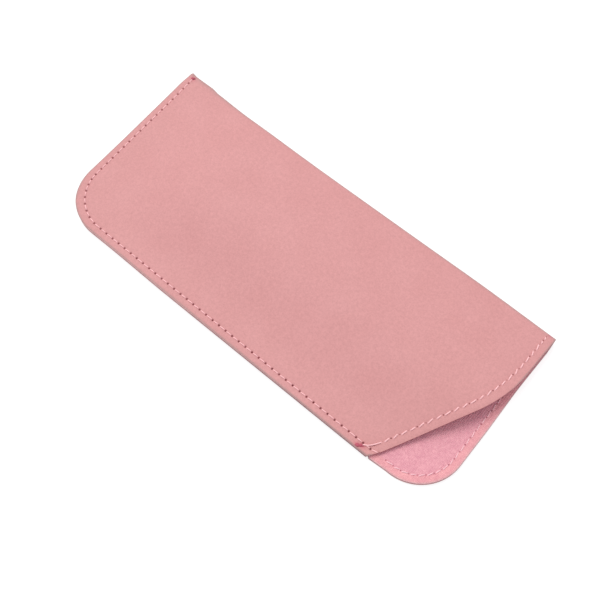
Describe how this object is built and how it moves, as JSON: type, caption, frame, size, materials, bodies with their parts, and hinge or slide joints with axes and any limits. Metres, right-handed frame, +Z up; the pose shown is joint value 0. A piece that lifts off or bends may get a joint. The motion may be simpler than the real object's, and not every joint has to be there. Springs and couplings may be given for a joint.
{
  "type": "soft pouch glasses case",
  "caption": "Flat slip-in glasses sleeve of lined soft leather, folded along one long edge and stitched round the other, with a scooped front lip and a rounded thumb tab at the open end.",
  "frame": {"origin": "centre of the case's outline, on its flat underside", "axes": "+X along the length towards the open mouth and thumb tab, +Y towards the folded edge, with the stitched side at -Y, +Z up out of the front wall"},
  "size_m": [0.175, 0.0754, 0.0082],
  "materials": {
    "leather": "matte pink imitation leather with a very fine grain",
    "lining": "light pink fine woven lining cloth, matte with a soft nap",
    "thread": "pale pink sewing thread with a slight sheen",
    "melted_thread": "crimson melted thread end, slightly glossy"
  },
  "bodies": {
    "pouch": {"backtack_knot": "melted_thread", "hem_end_bobbin_thread": "thread", "hem_end_needle_thread": "thread", "hem_thread_tail": "thread", "leather_back_panel": "leather", "leather_fold": "leather", "leather_front_panel": "leather", "lining_back_panel": "lining", "lining_fold": "lining", "lining_front_panel": "lining", "melted_thread_end": "melted_thread", "rim_bobbin_thread": "thread", "rim_needle_thread": "thread", "seam_bobbin_thread": "thread", "seam_needle_thread": "thread"},
    "lip": {"leather_lip": "leather", "lining_lip": "lining", "hem_needle_thread": "thread", "hem_bobbin_thread": "thread"},
    "tab": {"leather_tab": "leather", "lining_tab": "lining", "tab_needle_thread": "thread", "tab_bobbin_thread": "thread"}
  },
  "joints": [
    {"name": "lip_flex", "type": "hinge", "parent": "pouch", "child": "lip", "pos_m": [0.06394, -0.0345, 0.008], "axis": [-0.3169, -0.9484, 0], "range_deg": [0, 45], "stiffness_Nm_per_rad": 0.02},
    {"name": "tab_flex", "type": "hinge", "parent": "pouch", "child": "tab", "pos_m": [0.067, -0.03775, 0.00142], "axis": [-0.4089, -0.9126, 0], "range_deg": [0, 40], "stiffness_Nm_per_rad": 0.02}
  ]
}
